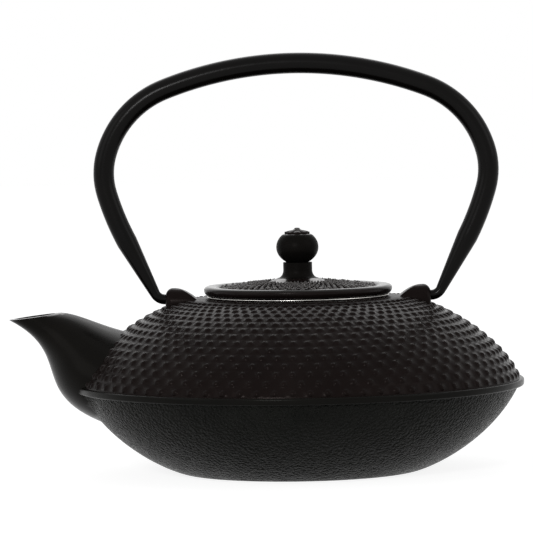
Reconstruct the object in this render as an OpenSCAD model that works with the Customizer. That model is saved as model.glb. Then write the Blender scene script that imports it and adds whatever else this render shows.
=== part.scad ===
// Cast-iron hobnail teapot: a wide flattened pot with an equator flange and a beak spout, a rolled
// bail handle that swings in two shoulder lugs, a lift-off lid with a riveted knob, and a
// stainless-steel tea infuser that hangs in the mouth under the lid.
// Frame: X runs from the spout (-X) to the back (+X), +Z is up, the origin is the centre of the base.

/* [Pot] */
// Diameter over the equator flange
pot_d = 200; // [180:2:230]
// Diameter of the flat base
base_d = 104; // [80:2:116]
// Height of the mouth seat above the base
seat_z = 77.5; // [72:0.1:88]
// Outer diameter of the mouth seat
seat_d = 84; // [84:1:90]
// Wall thickness of the casting
wall = 3.6; // [3:0.1:4.5]
// Height of the underside of the equator flange
flange_z = 37.1; // [32:0.1:42]
// Thickness of the equator flange
flange_t = 3; // [2:0.1:4]
// How far the flange stands out of the bowl
flange_lip = 2.4; // [1.6:0.1:3.2]
// Edge radius of the flange
flange_edge_r = 0.8; // [0.4:0.1:0.9]
// Rise of the ledge between the flange and the dome
ledge_rise = 0.5; // [0.3:0.1:1]
// Length of the flat-leaving pull of the bowl curve at the base
bowl_base_pull = 4.5; // [2:0.5:20]
// Length of the pull of the bowl curve at the flange
bowl_rim_pull = 28; // [16:0.5:32]
// Slope of the bowl where it meets the flange
bowl_rim_slope = 64.2; // [55:0.2:75]
// Length of the pull of the dome curve at the flange
dome_rim_pull = 15.7; // [8:0.1:20]
// Slope of the dome where it leaves the flange
dome_rim_slope = 71.4; // [66:0.2:86]
// Length of the pull of the dome curve at the mouth
dome_seat_pull = 22.3; // [12:0.1:28]
// Slope of the dome where it reaches the mouth
dome_seat_slope = 1.9; // [0:0.1:6]

/* [Spout] */
// How far the spout tip stands out beyond the flange
spout_reach = 29; // [18:0.5:36]
// Height of the spout tip
spout_tip_z = 69.2; // [62:0.1:76]
// Length of the mouth cut from tip to heel
spout_mouth_l = 23.4; // [18:0.2:28]
// Width of the mouth
spout_mouth_w = 16.5; // [12:0.5:22]
// Upward tilt of the mouth cut from tip to heel
spout_mouth_tilt = 7.2; // [2:0.2:15]
// Height where the underside of the spout leaves the bowl
spout_throat_z = 20.7; // [18:0.1:30]
// How far the belly of the spout swells out beyond the flange
spout_belly = 24.3; // [10:0.1:28]
// Height of the back of the spout inside the shoulder
spout_back_z = 60.4; // [54:0.2:64]
// Width of the spout root inside the shoulder
spout_root_w = 72; // [60:1:76]
// How far inside the flange the underside of the spout starts
spout_throat_in = 18; // [16:0.5:22]
// How far inside the flange the back of the spout starts
spout_back_in = 38; // [34:0.5:42]
// Wall thickness of the spout
spout_wall = 2.6; // [2:0.1:3.2]

/* [Lugs] */
// Height of the hinge line through the two lugs
hinge_z = 77.2; // [77:0.1:80]
// Distance from the axis to the outer face of a lug
lug_face_x = 59; // [57:0.5:64]
// Length of a lug along X
lug_l = 15; // [13:0.5:18]
// Width of a lug across Y
lug_w = 13; // [10:0.5:16]
// Height of the lug top above the hinge line
lug_rise = 5; // [4.4:0.1:7]
// Radius of the outer top corner of a lug
lug_round = 3.6; // [2:0.1:5]
// Depth of the hinge hole in a lug
lug_bore_l = 7.5; // [6:0.5:8]

/* [Bail handle] */
// Height of the tube's centre line above the hinge line at the crown
bail_h = 104.2; // [96:0.1:120]
// Diameter of the rolled tube
bail_tube_d = 9.2; // [8:0.1:11]
// Thickness of the rolled sheet
bail_sheet = 1.2; // [1:0.1:1.6]
// Width of the open seam on the inside of the curve
bail_seam = 0.8; // [0.4:0.1:1.5]
// Turn of the shallow crown on each side
crown_turn = 21; // [14:0.2:26]
// Bend radius of the shoulder
shoulder_r = 43.4; // [36:0.2:54]
// Turn of the shoulder
shoulder_turn = 53.6; // [44:0.2:72]
// Bend radius of the haunch where the bail turns back inward
haunch_r = 31.2; // [20:0.2:40]
// Turn of the haunch
haunch_turn = 31.4; // [20:0.2:36]
// Bend radius of the nearly straight side
side_r = 118; // [90:2:240]
// Turn of the nearly straight side
side_turn = 11.4; // [6:0.2:14]
// Diameter of the tube where its taper ends
bail_tip_d = 4.6; // [4:0.1:6]
// Bend radius of the turned-in end
bail_bend_r = 5; // [4:0.2:6]
// Diameter of the hinge pin end
pin_d = 3.5; // [2.8:0.1:4]
// Length of the hinge pin end inside the lug
pin_l = 6.4; // [5:0.1:7]
// Radial running clearance of the hinge pin
pin_clear = 0.1; // [0.05:0.01:0.1]
// Gap between the lug face and the bend
bail_side_gap = 0.3; // [0.2:0.1:0.6]

/* [Lid] */
// Diameter of the lid
lid_d = 83.8; // [80:0.2:92]
// Height of the lid's edge
lid_edge_h = 4.2; // [3:0.1:5]
// Width of the smooth lip round the lid
lip_w = 6.4; // [3.5:0.1:7]
// Edge radius of the lip
lip_r = 1.2; // [0.6:0.1:1.4]
// How far the field lies below the lip
field_drop = 0.8; // [0.4:0.1:1.2]
// Rise of the field from the lip to the boss
field_rise = 2.5; // [1:0.1:5]
// Wall thickness of the lid
lid_wall = 2.8; // [2.2:0.1:3.4]
// Depth of the locating skirt
skirt_h = 5.3; // [4:0.1:9]
// Wall thickness of the locating skirt
skirt_wall = 2.4; // [2:0.1:3]
// Clearance between the skirt and the infuser
skirt_clear = 0.7; // [0.4:0.1:1.2]
// Diameter of the shallow boss under the collar
boss_d = 25.6; // [20:0.2:32]
// Rise of the shallow boss
boss_rise = 1.5; // [0.8:0.1:2.5]
// Diameter of the collar's flared foot
foot_d = 18.4; // [15:0.2:20]
// Height of the flare
flare_h = 3.6; // [1.5:0.1:4]
// Diameter of the collar under the knob
collar_d = 12.9; // [12:0.1:14]
// Height of the collar above the boss
collar_h = 7; // [5:0.1:10]
// Vertical seating gap under the lid and under the infuser rim
seat_gap = 0.1; // [0.05:0.05:0.3]

/* [Knob] */
// Diameter of the knob
knob_d = 18.8; // [16:0.2:22]
// Height of the full knob form before its flats are cut
knob_h = 15.6; // [14:0.2:20]
// Diameter of the knob's lower flat
knob_foot_d = 9.4; // [8:0.2:11]
// Diameter of the knob's upper flat
knob_top_d = 12.4; // [11:0.2:14]
// Diameter of the petal washer on top
rosette_d = 11.2; // [9:0.2:12]
// Number of petals
petals = 8; // [5:1:12]
// Thickness of the petal washer
rosette_t = 0.7; // [0.5:0.1:1]
// Rise of the petal washer towards its centre
rosette_rise = 1.1; // [0.4:0.1:1.4]
// Diameter of the rivet
rivet_d = 3; // [2.4:0.1:3.4]
// Radial clearance round the rivet
rivet_clear = 0.1; // [0.05:0.05:0.3]
// Diameter of the neck under the rivet's top head
rivet_neck_d = 1.5; // [1.2:0.1:2]
// Diameter of the rivet's top head
rivet_head_d = 2.6; // [2.2:0.1:4]
// Height from the petal washer to the top of the rivet
rivet_stand = 1; // [1:0.1:2.5]
// Diameter of the peened end under the lid
rivet_peen_d = 5.6; // [5:0.2:7]
// Height of the peened end
rivet_peen_h = 1.4; // [1:0.1:2]
// Diameter of the washer under the lid
washer_d = 11; // [9:0.5:14]
// Thickness of the washer under the lid
washer_t = 1; // [0.8:0.1:1.5]

/* [Infuser] */
// Diameter of the rim that rests on the mouth
infuser_rim_d = 81; // [79:0.2:83]
// Thickness of the rim
infuser_rim_t = 0.7; // [0.5:0.1:1]
// Outer diameter of the basket
infuser_d = 73.6; // [70:0.2:74]
// Thickness of the sheet and of the mesh
infuser_sheet = 0.4; // [0.3:0.1:0.6]
// Depth of the basket below the mouth seat
infuser_depth = 53.3; // [40:0.1:58]
// Height of the collar below the rim
infuser_collar_h = 8; // [5:0.5:12]
// Height of the bottom ring
infuser_ring_h = 5; // [3:0.5:8]
// Radial clearance between the basket and the mouth
infuser_clear = 0.6; // [0.4:0.1:1]

/* [Hidden] */
$fn = 96;
curve_steps = 14;       // points along each body curve
spout_steps = 15;       // rings along the spout
spout_sides = 32;       // sides of one spout ring
over = 1;               // how far a cutting shape runs past the face it cuts

pot_r = pot_d / 2;
base_r = base_d / 2;
seat_r = seat_d / 2;
flange_top = flange_z + flange_t;
lug_top = hinge_z + lug_rise;
lug_in_x = lug_face_x - lug_l;
bore_r = pin_d / 2 + pin_clear;
bail_r = bail_tube_d / 2;
basket_r = infuser_d / 2;
mouth_r = basket_r + infuser_clear;

// ---- curves -----------------------------------------------------------------------------------

function bez(p, t) = pow(1 - t, 3) * p[0] + 3 * pow(1 - t, 2) * t * p[1]
                   + 3 * (1 - t) * t * t * p[2] + t * t * t * p[3];
function bez_dir(p, t) = pow(1 - t, 2) * (p[1] - p[0]) + 2 * (1 - t) * t * (p[2] - p[1])
                       + t * t * (p[3] - p[2]);
// The curve moved to its left by w, which is inward for the body's curves
function inset_at(p, t, w) = let (d = bez_dir(p, t)) bez(p, t) + w * [-d[1], d[0]] / norm(d);
function curve(p, w = 0) = [for (i = [0:curve_steps]) inset_at(p, i / curve_steps, w)];
// Points of a round corner from angle a to angle b
function corner(c, r, a, b, n = 4) = [for (i = [0:n]) let (q = a + (b - a) * i / n)
                                      c + r * [cos(q), sin(q)]];

bowl = [[base_r, 0],
        [base_r + bowl_base_pull, 0],
        [pot_r - flange_lip, flange_z] - bowl_rim_pull * [cos(bowl_rim_slope), sin(bowl_rim_slope)],
        [pot_r - flange_lip, flange_z]];
dome_foot_r = pot_r - flange_lip + 0.4;
dome = [[dome_foot_r, flange_top + ledge_rise],
        [dome_foot_r, flange_top + ledge_rise]
            + dome_rim_pull * [-cos(dome_rim_slope), sin(dome_rim_slope)],
        [seat_r, seat_z] + dome_seat_pull * [cos(dome_seat_slope), -sin(dome_seat_slope)],
        [seat_r, seat_z]];

// ---- pot body ---------------------------------------------------------------------------------

function outer_profile() = concat(
    [[0, 0]], curve(bowl),
    corner([pot_r - flange_edge_r, flange_z + flange_edge_r], flange_edge_r, -90, 0),
    corner([pot_r - flange_edge_r, flange_top - flange_edge_r], flange_edge_r, 0, 90),
    curve(dome), [[0, seat_z]]);

function cavity_profile() = concat(
    [[0, wall]], curve(bowl, wall), curve(dome, wall),
    [[mouth_r, seat_z - wall], [mouth_r, seat_z + over], [0, seat_z + over]]);

// Pulls of the spout's two curves: the belly and the lip below, the saddle and the heel above
spout_belly_rise = 14.6;
spout_lip_in = 1.9;
spout_lip_drop = 16.5;
spout_saddle_in = 16;
spout_saddle_rise = 2;
spout_heel_run = 10.8;
spout_heel_drop = 0.8;
// Underside and back of the spout in the XZ plane, from inside the shoulder to tip and heel
spout_tip = [-(pot_r + spout_reach), spout_tip_z];
spout_heel = spout_tip + spout_mouth_l * [cos(spout_mouth_tilt), sin(spout_mouth_tilt)];
spout_under = [[-(pot_r - spout_throat_in), spout_throat_z],
               [-(pot_r + spout_belly), spout_throat_z + spout_belly_rise],
               [-(pot_r - spout_lip_in), spout_tip_z - spout_lip_drop],
               spout_tip];
spout_back = [[-(pot_r - spout_back_in), spout_back_z],
              [-(pot_r - spout_saddle_in), spout_back_z + spout_saddle_rise],
              spout_heel + [spout_heel_run, -spout_heel_drop],
              spout_heel];
spout_taper = 1.1;      // how the width falls from root to mouth: 1 is straight, more is hollow

function spout_half_w(t) = spout_mouth_w / 2
                         + (spout_root_w - spout_mouth_w) / 2 * pow(1 - t, spout_taper);
// One oval ring of the spout, its wall thickness w taken off
function spout_ring(t, w) = let (
    low = bez(spout_under, t),
    high = bez(spout_back, t),
    mid = (low + high) / 2,
    rise = (high - low) / norm(high - low),
    half_l = norm(high - low) / 2 - w,
    half_w = spout_half_w(t) - w)
    [for (k = [0:spout_sides - 1]) let (
        q = 360 * k / spout_sides,
        p = mid + rise * half_l * sin(q)) [p[0], half_w * cos(q), p[1]]];
// The last ring moved out of the mouth, so that the bore cuts clean through it
function past_mouth() = let (n = [-sin(spout_mouth_tilt), cos(spout_mouth_tilt)])
    [for (p = spout_ring(1, spout_wall)) p + 2 * over * [n[0], 0, n[1]]];

function side_face(i, k) = let (
    n = spout_sides,
    a = i * n + k,
    b = i * n + (k + 1) % n) [[a, b, a + n], [b, b + n, a + n]];

module loft(rings) {
    last = len(rings) - 1;
    polyhedron(
        points = [for (r = rings) each r],
        faces = concat(
            [[for (k = [spout_sides - 1:-1:0]) k]],
            [for (i = [0:last - 1]) for (k = [0:spout_sides - 1]) each side_face(i, k)],
            [[for (k = [0:spout_sides - 1]) last * spout_sides + k]]));
}

module spout_outside() {
    loft([for (i = [0:spout_steps]) spout_ring(i / spout_steps, 0)]);
}

module spout_bore() {
    loft(concat([for (i = [0:spout_steps]) spout_ring(i / spout_steps, spout_wall)], [past_mouth()]));
}

// A buttress lug: a humped side profile cut to a tab with a round top
module lug() {
    foot_z = hinge_z - 4 * lug_rise;
    crest_x = lug_face_x - lug_round;
    back = [[crest_x, lug_top],
            [crest_x - lug_l / 4, lug_top],
            [lug_in_x + lug_l / 4, hinge_z + lug_rise / 2],
            [lug_in_x, hinge_z - lug_rise / 5]];
    intersection() {
        translate([0, lug_w / 2, 0])
            rotate([90, 0, 0])
                linear_extrude(lug_w)
                    polygon(concat([[lug_in_x, foot_z], [lug_face_x, foot_z]],
                                   corner([crest_x, lug_top - lug_round], lug_round, 0, 75),
                                   curve(back)));
        translate([lug_in_x - over, 0, 0])
            rotate([90, 0, 90])
                linear_extrude(lug_l + 2 * over)
                    union() {
                        translate([0, lug_top - lug_w / 2])
                            circle(d = lug_w);
                        translate([-lug_w / 2, foot_z])
                            square([lug_w, lug_top - lug_w / 2 - foot_z]);
                    }
    }
}

module lug_bore() {
    translate([lug_face_x - lug_bore_l, 0, hinge_z])
        rotate([0, 90, 0])
            cylinder(r = bore_r, h = lug_bore_l + over, $fn = 48);
}

module pot_body() {
    color([0.13, 0.125, 0.12])
        difference() {
            union() {
                rotate_extrude()
                    polygon(outer_profile());
                spout_outside();
                for (m = [0, 1])
                    mirror([m, 0, 0])
                        lug();
            }
            rotate_extrude()
                polygon(cavity_profile());
            spout_bore();
            for (m = [0, 1])
                mirror([m, 0, 0])
                    lug_bore();
        }
}

// ---- bail handle ------------------------------------------------------------------------------
// Each half is a chain of arcs that runs from the crown over the shoulder, haunch and side into a
// straight tapered leg, then turns in to the hinge pin. Headings count down from +X.

heading = [0, crown_turn, crown_turn + shoulder_turn, crown_turn + shoulder_turn + haunch_turn,
           crown_turn + shoulder_turn + haunch_turn + side_turn];
leg_heading = heading[4];
leg_turn = 180 - leg_heading;
bend_reach = bail_bend_r * tan(leg_turn / 2);
// Where the line of the leg meets the hinge line
leg_corner_x = lug_face_x + bail_side_gap + bend_reach;

function arc_step(r, a, b) = r * [sin(b) - sin(a), cos(b) - cos(a)];
fixed_steps = arc_step(shoulder_r, heading[1], heading[2]) + arc_step(haunch_r, heading[2], heading[3])
            + arc_step(side_r, heading[3], heading[4]);
leg_cot = cos(leg_heading) / sin(leg_heading);
// The crown's radius closes the chain between the crown height and the hinge
crown_r = (leg_corner_x - fixed_steps[0] - leg_cot * (bail_h + fixed_steps[1]))
        / (sin(crown_turn) + leg_cot * (cos(crown_turn) - 1));
radii = [crown_r, shoulder_r, haunch_r, side_r];
// Start point of arc i, from the hinge line's middle
function joint_at(i) = i == 0 ? [0, bail_h]
                     : joint_at(i - 1) + arc_step(radii[i - 1], heading[i - 1], heading[i]);
leg_top = joint_at(4);
leg_l = norm(leg_top - [leg_corner_x, 0]) - bend_reach;

// The tube is drawn as stretches that lap: each second one is a hair thinner and reaches into the
// walls of its neighbours, so that no two surfaces coincide.
lap_step = 0.05;
lap_l = 0.4;

module tube_section(step) {
    difference() {
        circle(d = bail_tube_d - 2 * step, $fn = 64);
        circle(d = bail_tube_d - 2 * bail_sheet + 2 * step, $fn = 64);
        translate([-bail_tube_d, -bail_seam / 2 - step])
            square([bail_tube_d, bail_seam + 2 * step]);
    }
}

// An arc of a section in the XZ plane, round a centre, between two headings
module bent(centre, r, from, to) {
    translate([centre[0], 0, centre[1]])
        rotate([90, 0, 0])
            rotate([0, 0, 90 - to])
                rotate_extrude(angle = to - from, $fn = 96)
                    translate([r, 0])
                        children();
}

module tube_arc(i) {
    laps = i % 2;
    lap_turn = laps * lap_l / radii[i] * 180 / PI;
    centre = joint_at(i) - radii[i] * [sin(heading[i]), cos(heading[i])];
    bent(centre, radii[i], heading[i] - lap_turn, heading[i + 1] + lap_turn)
        tube_section(laps * lap_step);
}

module crown() {
    bent([0, bail_h - crown_r], crown_r, -crown_turn, crown_turn)
        tube_section(0);
}

module tapered_leg() {
    hollow_l = leg_l - bail_sheet;
    translate([leg_top[0], 0, leg_top[1]])
        rotate([0, 90 + leg_heading, 0])
            rotate(180)
                difference() {
                    cylinder(d1 = bail_tube_d, d2 = bail_tip_d, h = leg_l, $fn = 64);
                    cylinder(d1 = bail_tube_d - 2 * bail_sheet, d2 = bail_tip_d - 2 * bail_sheet,
                             h = hollow_l, $fn = 64);
                    translate([-bail_tube_d, -bail_seam / 2, 0])
                        cube([bail_tube_d, bail_seam, hollow_l]);
                }
}

// The solid end turns from the leg to the hinge line and ends in a thinner pin
module turned_in_end() {
    lap_turn = bail_sheet / 2 / bail_bend_r * 180 / PI;
    bent([leg_corner_x - bend_reach, bail_bend_r], bail_bend_r, leg_heading - lap_turn, 180)
        circle(d = bail_tip_d - 2 * lap_step, $fn = 64);
    translate([lug_face_x - pin_l, 0, 0])
        rotate([0, 90, 0])
            cylinder(d = pin_d, h = pin_l + bail_side_gap + lap_l, $fn = 48);
}

module bail_handle() {
    color([0.12, 0.12, 0.115])
        translate([0, 0, hinge_z]) {
            crown();
            for (side = [0, 180])
                rotate(side) {
                    for (i = [1:3])
                        tube_arc(i);
                    tapered_leg();
                    turned_in_end();
                }
        }
}

// ---- lid --------------------------------------------------------------------------------------

lid_r = lid_d / 2;
lid_z = seat_z + 2 * seat_gap + infuser_rim_t;
lip_top = lid_z + lid_edge_h;
field_r = lid_r - lip_w;
field_z = lip_top - field_drop;
boss_r = boss_d / 2;
boss_z = field_z + field_rise;
foot_r = foot_d / 2;
foot_z = boss_z + boss_rise;
collar_r = collar_d / 2;
collar_top = foot_z + collar_h;
flare_w = foot_r - collar_r;
rivet_r = rivet_d / 2;
rivet_hole_r = rivet_r + rivet_clear;
skirt_r = basket_r - 2 * infuser_sheet - skirt_clear;
under_z = boss_z - lid_wall;

// The flare is a quarter of a hollow oval between the collar and its foot
function flare() = [for (i = [0:5]) let (q = 90 * i / 5)
    [foot_r - flare_w * sin(q), foot_z + flare_h * (1 - cos(q))]];

module lid() {
    color([0.12, 0.12, 0.115])
        rotate_extrude()
            polygon(concat(
                [[rivet_hole_r, under_z], [boss_r, under_z],
                 [skirt_r - skirt_wall, field_z - lid_wall],
                 [skirt_r - skirt_wall, lid_z - skirt_h], [skirt_r, lid_z - skirt_h],
                 [skirt_r, lid_z], [lid_r - lip_r / 2, lid_z], [lid_r, lid_z + lip_r / 2]],
                corner([lid_r - lip_r, lip_top - lip_r], lip_r, 0, 90),
                [[field_r + field_drop, lip_top], [field_r, field_z], [boss_r, boss_z]],
                flare(),
                [[collar_r, collar_top], [rivet_hole_r, collar_top]]));
}

// ---- knob and its rivet -----------------------------------------------------------------------

knob_r = knob_d / 2;
knob_half = knob_h / 2;
// Angles on the oval section at which the two flats cut it
knob_low = -acos(knob_foot_d / knob_d);
knob_high = acos(knob_top_d / knob_d);
knob_z = collar_top - knob_half * sin(knob_low);
knob_top = knob_z + knob_half * sin(knob_high);
rosette_top = knob_top + rosette_t;
rivet_top = rosette_top + rosette_rise + rivet_stand;

module knob() {
    color([0.12, 0.12, 0.115])
        rotate_extrude()
            polygon(concat(
                [[rivet_hole_r, collar_top]],
                [for (i = [0:16]) let (q = knob_low + (knob_high - knob_low) * i / 16)
                    [knob_r * cos(q), knob_z + knob_half * sin(q)]],
                [[rivet_hole_r, knob_top]]));
}

// A thin dished washer whose edge is cut into petals
module knob_rosette() {
    r = rosette_d / 2;
    petal_r = r * sin(180 / petals);
    color([0.14, 0.13, 0.12])
        translate([0, 0, knob_top])
            intersection() {
                rotate_extrude()
                    polygon([[rivet_hole_r, rosette_rise], [r, 0], [r, rosette_t],
                             [rivet_hole_r + 1, rosette_t + rosette_rise],
                             [rivet_hole_r, rosette_t + rosette_rise]]);
                linear_extrude(2 * (rosette_t + rosette_rise))
                    union() {
                        circle(r = r - petal_r);
                        for (i = [0:petals - 1])
                            rotate(360 * i / petals)
                                translate([r - petal_r, 0])
                                    circle(r = petal_r, $fn = 32);
                    }
            }
}

module knob_rivet() {
    peen_z = under_z - washer_t;
    neck_r = rivet_neck_d / 2;
    head_r = rivet_head_d / 2;
    head_h = rivet_stand / 2;
    color([0.2, 0.19, 0.18])
        rotate_extrude()
            polygon(concat(
                [[0, peen_z - rivet_peen_h], [rivet_peen_d / 4, peen_z - rivet_peen_h],
                 [rivet_peen_d / 2, peen_z - rivet_peen_h / 3], [rivet_peen_d / 2, peen_z],
                 [rivet_r, peen_z], [rivet_r, rosette_top + rosette_rise],
                 [neck_r, rosette_top + rosette_rise], [neck_r, rivet_top - head_h],
                 [head_r, rivet_top - head_h]],
                [for (i = [1:4]) let (q = 90 * i / 4)
                    [head_r * cos(q), rivet_top - head_h * (1 - sin(q))]]));
}

module rivet_washer() {
    color([0.35, 0.34, 0.32])
        translate([0, 0, under_z - washer_t])
            difference() {
                cylinder(d = washer_d, h = washer_t);
                translate([0, 0, -over])
                    cylinder(r = rivet_hole_r, h = washer_t + 2 * over);
            }
}

// ---- infuser ----------------------------------------------------------------------------------

rim_z = seat_z + seat_gap;
wall_r = basket_r - infuser_sheet;
basket_z = seat_z - infuser_depth;

// A tube from z0 to z1 with outer radius r and the thickness of the sheet
module sheet_tube(r, z0, z1) {
    translate([0, 0, z0])
        difference() {
            cylinder(r = r, h = z1 - z0);
            translate([0, 0, -over])
                cylinder(r = r - infuser_sheet, h = z1 - z0 + 2 * over);
        }
}

module infuser_rim() {
    color([0.8, 0.78, 0.74])
        rotate_extrude()
            polygon([[wall_r, rim_z - infuser_collar_h], [basket_r, rim_z - infuser_collar_h],
                     [basket_r, rim_z], [infuser_rim_d / 2, rim_z],
                     [infuser_rim_d / 2, rim_z + infuser_rim_t], [wall_r, rim_z + infuser_rim_t]]);
}

module infuser_wall() {
    color([0.72, 0.72, 0.7])
        sheet_tube(wall_r, basket_z + infuser_sheet, rim_z);
}

module infuser_base_ring() {
    color([0.8, 0.78, 0.74])
        sheet_tube(basket_r, basket_z, basket_z + infuser_ring_h);
}

module infuser_base() {
    color([0.72, 0.72, 0.7])
        translate([0, 0, basket_z])
            cylinder(r = wall_r, h = infuser_sheet);
}

pot_body();
bail_handle();
lid();
knob();
knob_rosette();
knob_rivet();
rivet_washer();
infuser_rim();
infuser_wall();
infuser_base_ring();
infuser_base();
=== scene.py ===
import math

import bmesh
import bpy
import numpy as np
from mathutils import Matrix, Vector


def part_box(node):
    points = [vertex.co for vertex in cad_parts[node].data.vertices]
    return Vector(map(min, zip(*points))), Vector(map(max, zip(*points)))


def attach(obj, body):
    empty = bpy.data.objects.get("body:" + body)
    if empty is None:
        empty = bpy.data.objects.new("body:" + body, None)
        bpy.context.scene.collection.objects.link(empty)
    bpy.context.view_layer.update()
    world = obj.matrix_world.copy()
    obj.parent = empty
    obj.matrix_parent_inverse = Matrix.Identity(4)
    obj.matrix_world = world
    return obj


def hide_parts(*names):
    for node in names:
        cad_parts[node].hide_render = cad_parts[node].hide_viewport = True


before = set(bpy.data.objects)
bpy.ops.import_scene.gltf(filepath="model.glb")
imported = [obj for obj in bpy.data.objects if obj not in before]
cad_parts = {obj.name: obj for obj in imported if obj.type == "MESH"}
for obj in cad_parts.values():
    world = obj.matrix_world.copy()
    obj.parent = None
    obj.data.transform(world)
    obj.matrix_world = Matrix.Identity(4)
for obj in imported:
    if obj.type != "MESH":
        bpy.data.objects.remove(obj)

# A cast-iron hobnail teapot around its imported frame. Lengths are in millimetres and are turned into
# metres where a mesh is made. Angles round the pot start at the front (-Y) and grow towards +X.
# A profile is a list of (radius, height), walked with the outside on its right.
MM = 0.001
TAU = 2 * math.pi
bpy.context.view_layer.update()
rng = np.random.default_rng(7)


def cad_mm(node):
    """Lowest and highest corner of a CAD node in millimetres."""
    low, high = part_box(node)
    return np.array(low) / MM, np.array(high) / MM


# ---- sizes from the frame -----------------------------------------------------------------------
pot_low, pot_high = cad_mm("pot_body")
lid_low, lid_high = cad_mm("lid")

pot_r = pot_high[1]
lug_top = pot_high[2]
bail_top = cad_mm("bail_handle")[1][2]
lid_r = lid_high[0]
collar_top = lid_high[2]
skirt_foot = lid_low[2]
knob_r = cad_mm("knob")[1][0]
basket_r = cad_mm("infuser_wall")[1][0]

# ---- driving sizes of the pot -------------------------------------------------------------------
base_r = 52.0
seat_r = 42.0
seat_z = 77.5
wall = 3.6
mouth_r = 37.4
flange_z = 37.1
flange_top = 40.1
flange_lip = 2.4
flange_edge_r = 0.8
ledge_w = 2.0
ledge_rise = 0.5
bowl_base_pull = 4.5                 # a pull is how far a curve's end tangent reaches
bowl_rim_pull = 28.0
bowl_rim_slope = math.radians(64.2)
dome_rim_pull = 15.7
dome_rim_slope = math.radians(71.4)
dome_seat_pull = 22.3
dome_seat_slope = math.radians(1.9)


def towards(angle):
    """The unit vector at an angle."""
    return np.array([math.cos(angle), math.sin(angle)])


bowl_rim = np.array([pot_r - flange_lip, flange_z])
bowl = [np.array([base_r, 0.0]), np.array([base_r + bowl_base_pull, 0.0]),
        bowl_rim - bowl_rim_pull * towards(bowl_rim_slope), bowl_rim]
dome_foot = np.array([pot_r - ledge_w, flange_top + ledge_rise])
dome_seat = np.array([seat_r, seat_z])
dome = [dome_foot, dome_foot + dome_rim_pull * towards(dome_rim_slope) * [-1, 1],
        dome_seat + dome_seat_pull * towards(dome_seat_slope) * [1, -1], dome_seat]


# ---- curves -------------------------------------------------------------------------------------
def bezier(points, t):
    """Points of a cubic curve at the parameters t, one row each."""
    t = np.atleast_1d(np.asarray(t, float))[:, None]
    a, b, c, d = points
    return (1 - t) ** 3 * a + 3 * (1 - t) ** 2 * t * b + 3 * (1 - t) * t * t * c + t ** 3 * d


def bezier_left(points, t):
    """Unit normals to the left of a cubic curve, which is inward for the pot's two curves."""
    t = np.atleast_1d(np.asarray(t, float))[:, None]
    a, b, c, d = points
    run = (1 - t) ** 2 * (b - a) + 2 * (1 - t) * t * (c - b) + t * t * (d - c)
    left = np.stack([-run[:, 1], run[:, 0]], 1)
    return left / np.linalg.norm(left, axis=1)[:, None]


def arc_points(centre, radius, start, end, steps):
    """Points of an arc, angles in degrees."""
    q = np.radians(np.linspace(start, end, steps + 1))
    return np.array(centre) + radius * np.stack([np.cos(q), np.sin(q)], 1)


def circle(points):
    """Points of a unit circle."""
    q = TAU * np.arange(points) / points
    return np.stack([np.cos(q), np.sin(q)], 1)


def round_axis(r, turn, z):
    """Points round the Z axis, in an array shaped as the turns are, with one more axis."""
    return np.stack(np.broadcast_arrays(r * np.sin(turn), -r * np.cos(turn), z), -1)


def profile_surface(points):
    """Turns a fine profile into a function that gives radius, height and outward normal at a length
    along it, and its whole length."""
    run = np.diff(points, axis=0)
    length = np.concatenate([[0], np.cumsum(np.hypot(run[:, 0], run[:, 1]))])
    slope = np.gradient(points, length, axis=0)
    normal = np.stack([slope[:, 1], -slope[:, 0]], 1)
    normal /= np.linalg.norm(normal, axis=1)[:, None]

    def surface(s):
        return [np.interp(s, length, values) for values in (*points.T, *normal.T)]
    return surface, float(length[-1])


def lifted(surface, s, lift):
    """Radius and height at the length s of a surface, moved outward by lift."""
    r, z, nr, nz = surface(s)
    return r + lift * nr, z + lift * nz


# ---- meshes -------------------------------------------------------------------------------------
def new_piece(name, points, faces):
    """A linked object from points in millimetres."""
    mesh = bpy.data.meshes.new(name)
    mesh.from_pydata((np.asarray(points) * MM).tolist(), [], faces)
    mesh.update()
    piece = bpy.data.objects.new(name, mesh)
    bpy.context.scene.collection.objects.link(piece)
    return piece


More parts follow.
